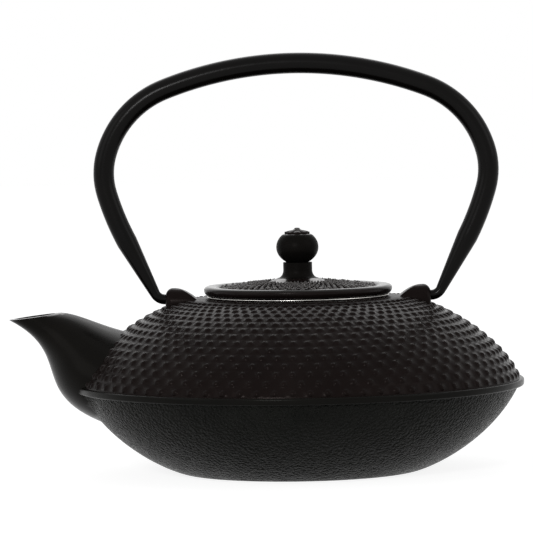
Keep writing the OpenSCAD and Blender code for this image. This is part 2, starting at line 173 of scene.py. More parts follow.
class Shell:
    """Points and faces of a mesh made of loops, mostly rings round the Z axis."""

    def __init__(self, columns):
        self.columns = columns
        self.parts = []
        self.faces = []
        self.count = 0

    def turns(self):
        """The angles of a ring's points."""
        return TAU * np.arange(self.columns) / self.columns

    def add(self, points):
        """Adds points and returns their numbers, in an array shaped as the points are."""
        points = np.asarray(points, float)
        ids = self.count + np.arange(points[..., 0].size).reshape(points.shape[:-1])
        self.parts.append(points.reshape(-1, 3))
        self.count += ids.size
        return ids

    def ring(self, r, z):
        return self.add(round_axis(r, self.turns(), z))

    def fill(self, faces):
        """Adds the faces of an array whose last axis holds each face's points."""
        self.faces.extend(np.reshape(faces, (-1, np.shape(faces)[-1])).tolist())

    def bridge(self, a, b):
        """Quads between two loops, or between many pairs. They face right of a profile from a to b."""
        self.fill(np.stack([a, np.roll(a, -1, -1), np.roll(b, -1, -1), b], -1))

    def stack(self, profile, first=None):
        """Bridges a ring for each profile point to the one before, and returns the last ring."""
        for r, z in profile:
            ring = self.ring(r, z)
            if first is not None:
                self.bridge(first, ring)
            first = ring
        return first

    def fan(self, loops, tips, up=True):
        """Triangles from each loop to its tip."""
        here, there = loops, np.roll(loops, -1, -1)
        if not up:
            here, there = there, here
        self.fill(np.stack(np.broadcast_arrays(here, there, tips), -1))

    def close(self, ring, z, up):
        """Fills a ring with a fan to a point on the axis."""
        self.fan(ring, self.add([[0, 0, z]]), up)

    def halve(self, outer, inner, flip):
        """Triangles from a ring to a smaller one with half as many points."""
        a, b, c = outer[0::2], outer[1::2], np.roll(outer[0::2], -1)
        p, q = inner, np.roll(inner, -1)
        triangles = np.concatenate([np.stack(corners, 1) for corners in ([a, b, p], [b, q, p], [b, c, q])])
        self.fill(triangles[:, ::-1] if flip else triangles)

    def piece(self, name):
        return new_piece(name, np.concatenate(self.parts), self.faces)


def turned(name, columns, profile, tips=None):
    """A closed piece from a profile turned round the Z axis.

    tips are the heights at which it is closed on the axis, below and above. Without them the
    profile is a loop."""
    shell = Shell(columns)
    first = shell.stack([profile[0]])
    if tips:
        shell.close(first, tips[0], up=False)
    last = shell.stack(profile[1:], first)
    if tips:
        shell.close(last, tips[1], up=True)
    else:
        shell.bridge(last, first)
    return shell.piece(name)


def solid_of_loops(name, loops):
    """A closed piece from loops of points, capped flat at both ends."""
    shell = Shell(len(loops[0]))
    rings = [shell.add(loop) for loop in loops]
    shell.fill([rings[0][::-1]])
    for a, b in zip(rings, rings[1:]):
        shell.bridge(a, b)
    shell.fill([rings[-1]])
    return fix_normals(shell.piece(name))


def fix_normals(piece):
    work = bmesh.new()
    work.from_mesh(piece.data)
    bmesh.ops.recalc_face_normals(work, faces=work.faces)
    work.to_mesh(piece.data)
    work.free()
    return piece


def apply_modifiers(piece):
    graph = bpy.context.evaluated_depsgraph_get()
    made = bpy.data.meshes.new_from_object(piece.evaluated_get(graph))
    piece.modifiers.clear()
    piece.data = made


def boolean(piece, other, operation):
    """Joins or cuts a closed mesh with another, which is then removed."""
    step = piece.modifiers.new("step", "BOOLEAN")
    step.operation = operation
    step.solver = "MANIFOLD"
    step.object = other
    apply_modifiers(piece)
    bpy.data.objects.remove(other)


def bevel(piece, width):
    step = piece.modifiers.new("bevel", "BEVEL")
    step.width = width * MM
    step.segments = 3
    step.limit_method = "ANGLE"
    step.angle_limit = math.radians(40)
    apply_modifiers(piece)


def half_turn(piece):
    """Turns a piece to the other side of the pot."""
    piece.data.transform(Matrix.Rotation(math.pi, 4, "Z"))


def paint(piece, materials, choose=None):
    """Gives a piece its materials. choose says which of them a face gets; without it, the first."""
    piece.data.materials.clear()
    for material in materials:
        piece.data.materials.append(material)
    index = {material: k for k, material in enumerate(materials)}
    faces = piece.data.polygons
    faces.foreach_set("material_index", [index[choose(face)] if choose else 0 for face in faces])
    return piece


def finish_piece(piece, crease, body, node):
    """Shades a piece smooth, but for edges of more than crease degrees, and gives it its place."""
    piece.data.shade_smooth()
    piece.data.set_sharp_from_angle(angle=math.radians(crease))
    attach(piece, body)
    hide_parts(node)


# ---- nubs and holes in staggered cells ----------------------------------------------------------
def stitch(outer, inner):
    """Triangles between two loops round one centre, given by their angles in rising order."""
    triangles = []
    i = j = 0
    n, m = len(outer), len(inner)
    while i < n or j < m:
        next_outer = outer[(i + 1) % n] + TAU * ((i + 1) // n)
        next_inner = inner[(j + 1) % m] + TAU * ((j + 1) // m)
        if j >= m or (i < n and next_outer <= next_inner):
            triangles.append([i % n, (i + 1) % n, n + j % m])
            i += 1
        else:
            triangles.append([i % n, n + (j + 1) % m, n + j % m])
            j += 1
    return triangles


def cell_pattern(sides):
    """The angles of the points round a cell's middle, and the triangles from the cell's six border
    points to them."""
    width, height = 1.5, 1
    corner = math.atan2(height, width)
    outline = np.array([-math.pi + corner, -math.pi / 2, -corner, corner, math.pi / 2,
                        math.pi - corner])
    foot = TAU * (np.arange(sides) + 0.5) / sides - math.pi
    start = int(np.argmin(abs(foot - outline[0])))
    foot = np.concatenate([foot[start:], foot[:start] + TAU])
    return foot, np.array(stitch(outline.tolist(), foot.tolist()))


def cell_loops(rings, j, columns):
    """The middle columns of row j, staggered from row to row, and the six points round each cell."""
    column = 2 * np.arange(columns // 2) + (j + 1) % 2
    left, right = (column - 1) % columns, (column + 1) % columns
    low, high = rings[j], rings[j + 1]
    return column, np.stack([low[left], low[column], low[right],
                             high[right], high[column], high[left]], 1)


def hobnail_band(shell, surface, centres, edges, sides, steps, nub_r, nub_share, nub_h, drop, jitter):
    """Rows of round nubs between the first and the last edge, in staggered cells.

    centres are the lengths of the rows' middles and edges part the rows. steps are (share of radius,
    share of height) from foot to crown. A nub has the radius nub_r, or the share nub_share of its
    row where that is less. drop is how far the ground between the nubs lies below the surface."""
    columns = shell.columns
    rings = np.array([shell.ring(*lifted(surface, edge, -drop)) for edge in edges])
    foot, pattern = cell_pattern(sides)
    for j, middle in enumerate(centres):
        column, loop = cell_loops(rings, j, columns)
        count = len(column)
        row = edges[j + 1] - edges[j]
        radius = min(nub_r, nub_share * row) * (1 + jitter * rng.uniform(-1, 1, count))
        height = nub_h * (1 + 2 * jitter * rng.uniform(-1, 1, count))
        along = middle + jitter * rng.uniform(-1, 1, count)
        row_r = float(surface(middle)[0])
        around = shell.turns()[column] + jitter * rng.uniform(-1, 1, count) / row_r
        below = None
        for share_r, share_h in steps:
            reach = share_r * radius[:, None]
            r, z = lifted(surface, along[:, None] + reach * np.sin(foot),
                          share_h * height[:, None] - drop)
            ids = shell.add(round_axis(r, around[:, None] + reach * np.cos(foot) / row_r, z))
            if below is None:
                shell.fill(np.concatenate([loop, ids], 1)[:, pattern])
            else:
                shell.bridge(below, ids)
            below = ids
        r, z = lifted(surface, along, height - drop)
        shell.fan(below, shell.add(round_axis(r, around, z))[:, None])
    return rings[0], rings[-1]


def perforated_band(shell, surface, edges, most_r, thick, sides=8, cell_share=0.3):
    """A sheet with staggered rows of round holes, from the first to the last edge.

    The holes have the radius most_r, or cell_share of a cell's width where that is less. Returns
    the first and the last ring, each as a pair of outer and inner side."""
    columns = shell.columns
    depths = (0.0, thick)
    rings = [np.array([shell.ring(*lifted(surface, edge, -depth)) for edge in edges])
             for depth in depths]
    foot, pattern = cell_pattern(sides)
    for j, middle in enumerate((edges[:-1] + edges[1:]) / 2):
        row_r = float(surface(middle)[0])
        cell_w = 2 * TAU * row_r / columns
        radius = min(most_r, cell_share * cell_w)
        holes = []
        for depth, side in zip(depths, rings):
            column, loop = cell_loops(side, j, columns)
            around = shell.turns()[column][:, None] + radius * np.cos(foot) / row_r
            r, z = lifted(surface, middle + radius * np.sin(foot), -depth)
            ids = shell.add(round_axis(r, around, z))
            triangles = np.concatenate([loop, ids], 1)[:, pattern]
            shell.fill(triangles if depth == 0 else triangles[..., ::-1])
            holes.append(ids)
        shell.bridge(*holes)
    return (rings[0][0], rings[1][0]), (rings[0][-1], rings[1][-1])


# ---- materials ----------------------------------------------------------------------------------
NOISE_SPAN = (0.3, 0.7)              # most values of a noise lie between these


def add_node(tree, kind, **values):
    """Adds a shader node and sets its inputs, where _ stands for a space."""
    node = tree.nodes.new("ShaderNode" + kind)
    for name, value in values.items():
        node.inputs[name.replace("_", " ")].default_value = value
    return node


class Nodes:
    """A short way to write a node material."""

    def __init__(self, name):
        self.material = bpy.data.materials.new(name)
        self.material.use_nodes = True
        self.tree = self.material.node_tree
        self.tree.nodes.clear()
        self.place = add_node(self.tree, "TexCoord").outputs["Object"]

    def wire(self, source, target):
        self.tree.links.new(source, target)

    def noise(self, scale, detail=4, roughness=0.55, distortion=0.0):
        node = add_node(self.tree, "TexNoise", Scale=scale, Detail=detail, Roughness=roughness,
                        Distortion=distortion)
        self.wire(self.place, node.inputs["Vector"])
        return node.outputs["Fac"]

    def pebbles(self, scale, smoothness=0.35):
        """Rounded lumps packed side by side."""
        node = add_node(self.tree, "TexVoronoi", Scale=scale)
        node.feature = "SMOOTH_F1"
        node.inputs["Smoothness"].default_value = smoothness
        self.wire(self.place, node.inputs["Vector"])
        return self.spread(node.outputs["Distance"], 1, 0, (0.0, 0.8))

    def ramp(self, source, colours):
        """Colours a noise from the first to the second of two colours."""
        node = add_node(self.tree, "ValToRGB")
        for point, at, colour in zip(node.color_ramp.elements, NOISE_SPAN, colours):
            point.position = at
            point.color = (*colour, 1)
        self.wire(source, node.inputs[0])
        return node.outputs[0]

    def spread(self, source, low, high, span=NOISE_SPAN):
        """Maps a noise to the range from low to high."""
        node = add_node(self.tree, "MapRange", From_Min=span[0], From_Max=span[1], To_Min=low,
                        To_Max=high)
        self.wire(source, node.inputs["Value"])
        return node.outputs[0]

    def bump(self, height, depth, below=None):
        """Bump of a depth in millimetres."""
        node = add_node(self.tree, "Bump", Distance=depth * MM)
        self.wire(height, node.inputs["Height"])
        if below is not None:
            self.wire(below, node.inputs["Normal"])
        return node.outputs[0]

    def shade(self, tone, rough, normal, **values):
        """Ends the material in a principled shader, and returns it."""
        shader = add_node(self.tree, "BsdfPrincipled", **values)
        for source, name in ((tone, "Base Color"), (rough, "Roughness"), (normal, "Normal")):
            self.wire(source, shader.inputs[name])
        self.wire(shader.outputs[0], add_node(self.tree, "OutputMaterial").inputs[0])
        return self.material


# Dark and light tones of the iron, and a tint of its gloss
WARM = ((0.0062, 0.0042, 0.0039), (0.0096, 0.0068, 0.0063))
PLAIN = ((0.0036, 0.0033, 0.0029), (0.006, 0.0055, 0.0048))
STONE = ((0.0092, 0.0094, 0.0084), (0.0132, 0.0134, 0.012))
GREY = (0.97, 1.0, 0.93)


def black_iron(name, tones=WARM, tint=(1, 0.86, 0.82), ior=1.113, grain=1.0, peel=0.0,
               rough=(0.2, 0.3)):
    """Lacquered cast iron: near black, with the grain of the sand mould.

    peel is the depth of the wrinkled cast skin in millimetres."""
    m = Nodes(name)
    tone = m.ramp(m.noise(45, 5), tones)
    sheen = m.spread(m.noise(160, 3), *rough)
    normal = m.bump(m.noise(1300, 3, 0.6), 0.035 * grain)
    if peel:
        normal = m.bump(m.pebbles(740), peel, normal)
        normal = m.bump(m.noise(950, 2, 0.6, 0.5), 0.7 * peel, normal)
    return m.shade(tone, sheen, normal, IOR=ior, Specular_Tint=(*tint, 1))


def black_steel(name):
    """The handle's rolled sheet steel under a thin black coat."""
    m = Nodes(name)
    tone = m.ramp(m.noise(60, 4), ((0.0016, 0.0013, 0.0012), (0.0028, 0.0023, 0.002)))
    sheen = m.spread(m.noise(90, 3), 0.2, 0.28)
    return m.shade(tone, sheen, m.bump(m.noise(700, 3, 0.5), 0.02), IOR=1.18)


def enamel(name):
    """The black enamel lining of the pot."""
    m = Nodes(name)
    tone = m.ramp(m.noise(30, 2), ((0.012, 0.012, 0.012), (0.017, 0.016, 0.016)))
    sheen = m.spread(m.noise(60, 2), 0.08, 0.16)
    return m.shade(tone, sheen, m.bump(m.noise(120, 2), 0.08), IOR=1.45)


def steel(name, level, rough):
    """Bare stainless steel, faintly mottled by its rolling."""
    m = Nodes(name)
    colours = ((level, 0.97 * level, 0.92 * level), (1.12 * level, 1.09 * level, 1.04 * level))
    tone = m.ramp(m.noise(80, 4), colours)
    sheen = m.spread(m.noise(500, 3), *rough)
    return m.shade(tone, sheen, m.bump(m.noise(900, 2), 0.006), Metallic=1.0)


iron_body = black_iron("iron_body")
iron_bowl = black_iron("iron_bowl", STONE, GREY, ior=1.08, peel=1.0)
iron_flange = black_iron("iron_flange", PLAIN, GREY, ior=1.13, grain=0.6)
# Painted shade: a less glossy copy of the body's iron. It gives the shade under the lid on the pot's last
# row of nubs and mouth band, and the shade in the ground between the lid's nubs.
iron_painted_shade = black_iron("iron_painted_shade", ior=1.055)
iron_spout = black_iron("iron_spout", PLAIN, (1, 0.95, 0.9), ior=1.12, grain=0.5)
iron_edge = black_iron("iron_edge", PLAIN, (1, 0.96, 0.93), ior=1.3, grain=0.6, rough=(0.1, 0.16))
iron_lid = black_iron("iron_lid", tint=(1, 0.93, 0.9), ior=1.16)
iron_field = black_iron("iron_field", tint=(1, 0.95, 0.93), ior=1.5, grain=0.5, rough=(0.12, 0.18))
iron_knob = black_iron("iron_knob", PLAIN, (1, 0.93, 0.9), ior=1.09, grain=0.8, rough=(0.34, 0.44))
iron_rosette = black_iron("iron_rosette")
steel_bail = black_steel("black_steel")
enamel_lining = enamel("enamel")
steel_infuser = steel("steel_infuser", 0.82, (0.24, 0.32))
steel_rivet = steel("steel_rivet", 0.06, (0.3, 0.45))
steel_washer = steel("steel_washer", 0.3, (0.3, 0.45))
steel_mesh = steel("steel_mesh", 0.5, (0.28, 0.4))
POT_MATERIALS = [iron_body, iron_spout, enamel_lining, iron_bowl, iron_edge, iron_flange, iron_painted_shade]
LID_MATERIALS = [iron_lid, iron_edge, iron_field, iron_knob, iron_painted_shade]


# ---- pot body -----------------------------------------------------------------------------------
NUBS_ROUND = 80                      # nubs in each row of the dome
NUB_SIDES = 12
NUB_STEPS = [(1.0, 0.0), (0.85, 0.22), (0.62, 0.6), (0.32, 0.9)]
first_row = 1.62                     # middle of the lowest row, from the dome's foot
last_row = 61.5                      # rows end past this length
row_step = 4.55                      # most distance from row to row
row_share = 0.0635                   # and its most share of the dome's radius there
nub_size = {"nub_r": 1.7, "nub_share": 0.47, "nub_h": 0.75, "drop": 0.25, "jitter": 0.06}


def dome_rows(surface):
    """Lengths of the rows' middles along the dome, closer where it narrows, and of their edges."""
    centres = [first_row]
    while centres[-1] < last_row:
        centres.append(centres[-1] + min(row_step, row_share * float(surface(centres[-1])[0])))
    between = [(a + b) / 2 for a, b in zip(centres, centres[1:])]
    return centres, [0.0, *between, 1.5 * centres[-1] - 0.5 * centres[-2]]


def pot_outside():
    """The outer skin of the bowl and dome, and the radius at which the last row of nubs starts."""
    shell = Shell(2 * NUBS_ROUND)
    surface, length = profile_surface(bezier(dome, np.linspace(0, 1, 600)))
    corner_low = [pot_r - flange_edge_r, flange_z + flange_edge_r]
    corner_high = [pot_r - flange_edge_r, flange_top - flange_edge_r]
    below = np.concatenate([bezier(bowl, np.linspace(0, 1, 26)),
                            arc_points(corner_low, flange_edge_r, -90, 0, 4),
                            arc_points(corner_high, flange_edge_r, 0, 90, 4),
                            [dome_foot - [0, ledge_rise]], [dome_foot - [0.1, 0.1]]])
    bottom = shell.stack([below[0]])
    shell.close(bottom, 0, up=False)
    ledge = shell.stack(below[1:], bottom)
    centres, edges = dome_rows(surface)
    foot, top = hobnail_band(shell, surface, centres, edges, NUB_SIDES, NUB_STEPS, **nub_size)
    shell.bridge(ledge, foot)
    smooth_band = [surface(s)[:2] for s in np.linspace(edges[-1] + 1.0, length - 0.6, 5)]
    seat = shell.stack([*smooth_band, dome_seat], top)
    shell.close(seat, seat_z, up=True)
    return shell.piece("pot"), float(surface(edges[-2])[0])


def pot_cavity():
    t = np.linspace(0, 1, 22)
    low = bezier(bowl, t) + wall * bezier_left(bowl, t)
    high = bezier(dome, t) + wall * bezier_left(dome, t)
    over = seat_z + 1
    profile = np.concatenate([low, high, [[mouth_r, seat_z - wall], [mouth_r, over]]])
    return turned("cavity", 2 * NUBS_ROUND, profile, (wall, over))


# ---- spout --------------------------------------------------------------------------------------
# Its upper and lower curves run from a root inside the pot to the mouth's heel and tip.
spout_tip_z = 69.2
spout_mouth_tilt = math.radians(7.2)
spout_mouth_l = 23.4
spout_mouth_w = 16.5
spout_root_w = 72.0
spout_taper = 1.1                    # power by which the width falls from root to mouth
spout_wall = 2.6
spout_skin_end = 0.965               # share of the curves at which the skin turns in to the rim
spout_rim_back = 0.984               # and the rim's own place on the back
spout_rim_flat = 0.3                 # width of the flat round the bore
spout_bright_h = 0.6                 # the rim is bright down to here from the mouth's plane
spout_throat_in = 18.0
spout_throat_z = 20.7
spout_belly = 24.3
spout_belly_z = 35.3
spout_lip_in = 1.9
spout_lip_z = 52.7
spout_back_in = 38.0
spout_back_z = 60.4
spout_saddle_in = 16.0
spout_saddle_z = 62.4
spout_heel_pull = [10.8, -0.8]

spout_tip = np.array([pot_low[0], spout_tip_z])
spout_heel = spout_tip + spout_mouth_l * towards(spout_mouth_tilt)
spout_under = [np.array([spout_throat_in - pot_r, spout_throat_z]),
               np.array([-(pot_r + spout_belly), spout_belly_z]),
               np.array([spout_lip_in - pot_r, spout_lip_z]), spout_tip]
spout_back = [np.array([spout_back_in - pot_r, spout_back_z]),
              np.array([spout_saddle_in - pot_r, spout_saddle_z]),
              spout_heel + spout_heel_pull, spout_heel]
mouth_axis = Vector((-math.sin(spout_mouth_tilt), 0, math.cos(spout_mouth_tilt)))
rim_level = mouth_axis.dot(Vector((spout_tip[0], 0, spout_tip[1]))) - spout_bright_h


def spout_ring(t, w, sides, back_t=None):
    """One oval ring of the spout, its wall thickness w taken off.

    back_t is the ring's place on the back where it differs from t."""
    low, high = bezier(spout_under, t)[0], bezier(spout_back, t if back_t is None else back_t)[0]
    reach = np.linalg.norm(high - low)
    rise = (high - low) / reach
    half_l = reach / 2 - w
    half_w = spout_mouth_w / 2 + (spout_root_w - spout_mouth_w) / 2 * (1 - t) ** spout_taper - w
    across, along = circle(sides).T
    line = (low + high) / 2 + np.outer(half_l * along, rise)
    return np.stack([line[:, 0], half_w * across, line[:, 1]], 1)


def spout_outside():
    """The spout's skin up to its rounded rim."""
    sides = 72
    loops = [spout_ring(t, 0, sides) for t in np.linspace(0, spout_skin_end, 30)]
    loops += [spout_ring(1, 0, sides, spout_rim_back),
              spout_ring(1, spout_wall - spout_rim_flat, sides)]
    return solid_of_loops("spout", loops)


def spout_bore():
    loops = [spout_ring(t, spout_wall, 48) for t in np.linspace(0, 1, 24)]
    past_rim = 2
    loops.append(loops[-1] + past_rim * np.array(mouth_axis))
    return solid_of_loops("bore", loops)


def spout_material(face):
    """The rim has the bright edge's material."""
    on_rim = face.normal.dot(mouth_axis) > 0.8 and mouth_axis.dot(face.center) / MM > rim_level
    return iron_edge if on_rim else iron_spout


# ---- lugs ---------------------------------------------------------------------------------------
hinge_z = 77.2
lug_face_x = 59.0
lug_in_x = 44.0
lug_w = 13.0
lug_round = 3.6
lug_edge = 2.6
lug_bevel = 0.5
lug_depth = 20.0                     # from the hinge down into the pot's wall
lug_tail_rise = 2.5                  # the hump falls from the crest to this over the hinge
lug_tail_drop = 1.0                  # and ends this far under it
bore_r = 1.85
bore_l = 7.5


def lug(side):
    """A humped block whose tab outline is rounded over towards its outer face."""
    foot = hinge_z - lug_depth
    crest_x = lug_face_x - lug_round
    quarter = (lug_face_x - lug_in_x) / 4
    back = np.array([[crest_x, lug_top], [crest_x - quarter, lug_top],
                     [lug_in_x + quarter, hinge_z + lug_tail_rise],
                     [lug_in_x, hinge_z - lug_tail_drop]])
    hump = np.concatenate([[[lug_in_x, foot], [lug_face_x, foot]],
                           arc_points([crest_x, lug_top - lug_round], lug_round, 0, 80, 8),
                           bezier(back, np.linspace(0, 1, 18))])
    block = solid_of_loops("lug", [np.insert(hump, 1, y, axis=1) for y in (-lug_w, lug_w)])
    stations = [(lug_in_x - 1, 0.0)]
    for q in np.radians(np.linspace(0, 90, 7)):
        stations.append((lug_face_x - lug_edge * (1 - math.sin(q)), lug_edge * (1 - math.cos(q))))
    loops = []
    for x, inset in stations:
        half = lug_w / 2 - inset
        tab = np.concatenate([arc_points([0, lug_top - lug_w / 2], half, 0, 180, 24),
                              [[-half, foot - 1], [half, foot - 1]]])
        loops.append(np.insert(tab, 0, x, axis=1))
    boolean(block, solid_of_loops("tab", loops), "INTERSECT")
    bevel(block, lug_bevel)
    if side < 0:
        half_turn(block)
    return block


def lug_bore(side):
    ring = [0, hinge_z] + bore_r * circle(40)
    ends = (side * (lug_face_x - bore_l), side * (lug_face_x + 2))
    return solid_of_loops("lug_bore", [np.insert(ring, 0, x, axis=1) for x in ends])


def make_pot():
    pot, last_row_r = pot_outside()

    def casting(face):
        """The material of a face of the outer skin."""
        r, z = face.center.xy.length / MM, face.center.z / MM
        if z < flange_z and r < pot_r - flange_lip:
            return iron_bowl
        if z < flange_top + 0.2:
            return iron_flange
        # The last row of nubs and the smooth band by the mouth get painted shade, the less glossy copy of
        # the iron, for the shade under the lid.
        return iron_painted_shade if r < last_row_r else iron_body

    paint(pot, POT_MATERIALS, casting)
    boolean(pot, paint(spout_outside(), POT_MATERIALS, spout_material), "UNION")
    for side in (-1, 1):
        boolean(pot, paint(lug(side), POT_MATERIALS), "UNION")
    boolean(pot, paint(pot_cavity(), POT_MATERIALS, lambda face: enamel_lining), "DIFFERENCE")
    boolean(pot, paint(spout_bore(), POT_MATERIALS, lambda face: iron_spout), "DIFFERENCE")
    for side in (-1, 1):
        boolean(pot, paint(lug_bore(side), POT_MATERIALS), "DIFFERENCE")
    finish_piece(pot, 38, "pot", "pot_body")


# ---- bail handle --------------------------------------------------------------------------------
tube_r = 4.6
tip_r = 2.3
sheet = 1.2
seam = 0.8
pin_r = 1.75
pin_l = 6.4
pin_chamfer = 0.4
bend_r = 5.0
end_inset = 0.05                     # the solid end is this much thinner than the tube's tip
end_lap = 0.35                       # and starts this angle before the bend, inside the tube
side_gap = 0.3
bail_h = bail_top - hinge_z - tube_r
headings = np.radians([0, 21, 74.6, 106, 117.4])     # ends of crown, shoulder, haunch and side
bend_radii = (43.4, 31.2, 118.0)     # shoulder, haunch and side
leg_heading = headings[-1]
leg_steps = 14
station_l = 2.0                      # least distance of two stations on a long arc
bend_reach = bend_r * math.tan((math.pi - leg_heading) / 2)
leg_corner_x = lug_face_x + side_gap + bend_reach


def arc_step(r, a, b):
    """The way along an arc of radius r while the heading turns from a to b."""
    return r * np.array([math.sin(b) - math.sin(a), math.cos(b) - math.cos(a)])


# The crown's radius closes the chain of arcs between its top and the hinge.
fixed_steps = sum(arc_step(r, headings[i + 1], headings[i + 2]) for i, r in enumerate(bend_radii))
leg_cot = math.cos(leg_heading) / math.sin(leg_heading)
crown_r = ((leg_corner_x - fixed_steps[0] - leg_cot * (bail_h + fixed_steps[1]))
           / (math.sin(headings[1]) + leg_cot * (math.cos(headings[1]) - 1)))


def bail_line():
    """The handle's right half from crown to bend: (x, z, heading, radius) at its stations."""
    stations = []
    at = np.array([0.0, bail_h])
    for r, a, b in zip((crown_r, *bend_radii), headings, headings[1:]):
        steps = max(6, int(r * (b - a) / station_l))
        for k in range(steps):
            h = a + (b - a) * k / steps
            stations.append((*(at + arc_step(r, a, h)), h, tube_r))
        at = at + arc_step(r, a, b)
    leg_l = np.linalg.norm(at - [leg_corner_x, 0]) - bend_reach
    way = np.array([math.cos(leg_heading), -math.sin(leg_heading)])
    for k in range(leg_steps + 1):
        done = k / leg_steps
        stations.append((*(at + way * leg_l * done), leg_heading, tube_r + (tip_r - tube_r) * done))
    return stations


def tube_section(r):
    """A rolled sheet's section: a C that opens towards the inside of the curve."""
    loops = []
    for radius, points in ((r, 40), (r - sheet, 26)):
        half = math.asin(seam / 2 / radius)
        q = np.linspace(-math.pi / 2 + half, 3 * math.pi / 2 - half, points)
        loops.append(radius * np.stack([np.cos(q), np.sin(q)], 1))
    outside, inside = loops
    return np.concatenate([outside, inside[::-1]])


def place_section(section, x, z, heading):
    """Puts a section (across, out) at a station of the handle."""
    out = np.array([math.sin(heading), 0, math.cos(heading)])
    across = np.array([0, 1, 0])
    return [x, 0, hinge_z + z] + np.outer(section[:, 0], across) + np.outer(section[:, 1], out)


def bail_end(side):
    """The solid end that turns in from the leg and ends in the hinge pin."""
    end_r = tip_r - end_inset
    centre = np.array([lug_face_x + side_gap, bend_r])
    hair = 0.01                      # parts the two loops of the step down to the pin
    loops = []
    for h in np.linspace(leg_heading - end_lap, math.pi, 14):
        x, z = centre + bend_r * np.array([math.sin(h), math.cos(h)])
        loops.append(place_section(end_r * circle(32), x, z, h))
    for x, r in ((lug_face_x, end_r), (lug_face_x - hair, pin_r),
                 (lug_face_x - pin_l + pin_chamfer, pin_r), (lug_face_x - pin_l, pin_r - pin_chamfer)):
        loops.append(place_section(r * circle(32), x, 0, math.pi))
    end = solid_of_loops("bail_end", loops)
    if side < 0:
        half_turn(end)
    return end


def make_bail():
    right = bail_line()
    line = [(-x, z, -h, r) for x, z, h, r in right[:0:-1]] + right
    bail = solid_of_loops("bail", [place_section(tube_section(r), x, z, h) for x, z, h, r in line])
    for side in (-1, 1):
        boolean(bail, bail_end(side), "UNION")
    finish_piece(paint(bail, [steel_bail]), 40, "bail", "bail_handle")


# ---- lid ----------------------------------------------------------------------------------------
LID_NUBS = 58                        # nubs in each row
LID_NUB_SIDES = 10
LID_NUB_STEPS = [(1.0, 0.0), (0.9, 0.32), (0.68, 0.66), (0.36, 0.91)]
lid_row_step = 2.9
lid_row_share = 0.09
lid_nub_size = {"nub_r": 1.1, "nub_share": 0.38, "nub_h": 1.1, "drop": 0.15, "jitter": 0.15}
lid_z = 78.4
lip_top = 82.6
lip_r = 1.6
bead_r = 2.5                         # of the lip's lower edge
lip_bright_h = 0.8                   # the lip is bright down to here from its top
field_r = 35.5
field_z = 81.8
field_start = 0.3                    # plain ground between lip and nubs
field_end = 0.2                      # and least ground between nubs and boss
ground_h = 0.3                       # faces no higher than this over the field are ground, which gets painted shade
boss_r = 12.8
boss_z = 84.3
foot_r = 9.2
foot_z = 85.8
flare_h = 3.6
collar_r = 6.45
skirt_r = 35.3
skirt_in_r = 32.9
rivet_hole_r = 1.6
under_z = 81.5


def lid_rows(surface, length):
    """Lengths that part the rows of small nubs, from the lip to the boss."""
    edges = [field_start]
    while True:
        step = min(lid_row_step, lid_row_share * float(surface(edges[-1])[0]))
        if edges[-1] + step > length - field_end:
            return edges
        edges.append(edges[-1] + step)


def lid_material(face):
    """The material of a face: the bright lip, the lid's side and underside, its collar, the nubs, and the
    field's ground with painted shade.
    """
    r, z = face.center.xy.length / MM, face.center.z / MM
    slack = 0.1
    if z > lip_top - lip_bright_h and r > field_r - 2 * slack:
        return iron_edge
    if r > field_r or z < field_z - slack:
        return iron_lid
    if z > foot_z:
        return iron_knob
    ground = field_z + (boss_z - field_z) * (field_r - r) / (field_r - boss_r)
    # The ground between the nubs gets painted shade, a less glossy copy of the iron, for the shade in
    # these hollows.
    return iron_painted_shade if z < ground + ground_h and r > boss_r else iron_field


def make_lid():
    shell = Shell(2 * LID_NUBS)
    outer = np.concatenate([
        [[rivet_hole_r, under_z], [boss_r, under_z], [skirt_in_r - 0.6, field_z - 2.8],
         [skirt_in_r, field_z - 3.4], [skirt_in_r, skirt_foot + 0.3], [skirt_in_r + 0.3, skirt_foot],
         [skirt_r - 0.5, skirt_foot], [skirt_r, skirt_foot + 0.5], [skirt_r, lid_z],
         [lid_r - 2.8, lid_z]],
        arc_points([lid_r - bead_r, lid_z + bead_r], bead_r, -84, 0, 12),
        arc_points([lid_r - lip_r, lip_top - lip_r], lip_r, 0, 78, 8),
        [[lid_r - 3.2, lip_top - 0.02], [field_r + 1.6, lip_top - 0.04],
         [field_r + 0.8, lip_top - 0.2], [field_r + 0.1, field_z]]])
    first = shell.stack([outer[0]])
    edge = shell.stack(outer[1:], first)
    surface, length = profile_surface(np.linspace([field_r, field_z], [boss_r, boss_z], 60))
    edges = lid_rows(surface, length)
    centres = [(a + b) / 2 for a, b in zip(edges, edges[1:])]
    low, high = hobnail_band(shell, surface, centres, edges, LID_NUB_SIDES, LID_NUB_STEPS,
                             **lid_nub_size)
    shell.bridge(edge, low)
    q = np.radians(np.linspace(0, 90, 9))
    flare = np.stack([foot_r - (foot_r - collar_r) * np.sin(q), foot_z + flare_h * (1 - np.cos(q))], 1)
    rise = np.linspace([boss_r, boss_z], [foot_r, foot_z], 5)
    inner = np.concatenate([rise, flare[1:], [[collar_r, collar_top], [rivet_hole_r, collar_top]]])
    last = shell.stack(inner, high)
    shell.bridge(last, first)
    lid = paint(shell.piece("lid_cover"), LID_MATERIALS, lid_material)
    finish_piece(lid, 38, "lid", "lid")


# ---- knob ---------------------------------------------------------------------------------------
knob_half = 7.8
knob_foot_r = 4.7
knob_top_r = 6.2
knob_shoulder = np.array([[0.22, -0.26], [0.02, -0.13], [-0.25, -0.04], [-0.6, 0]])
shoulder_h = 0.3                     # the rounded edge round the top flat is bright


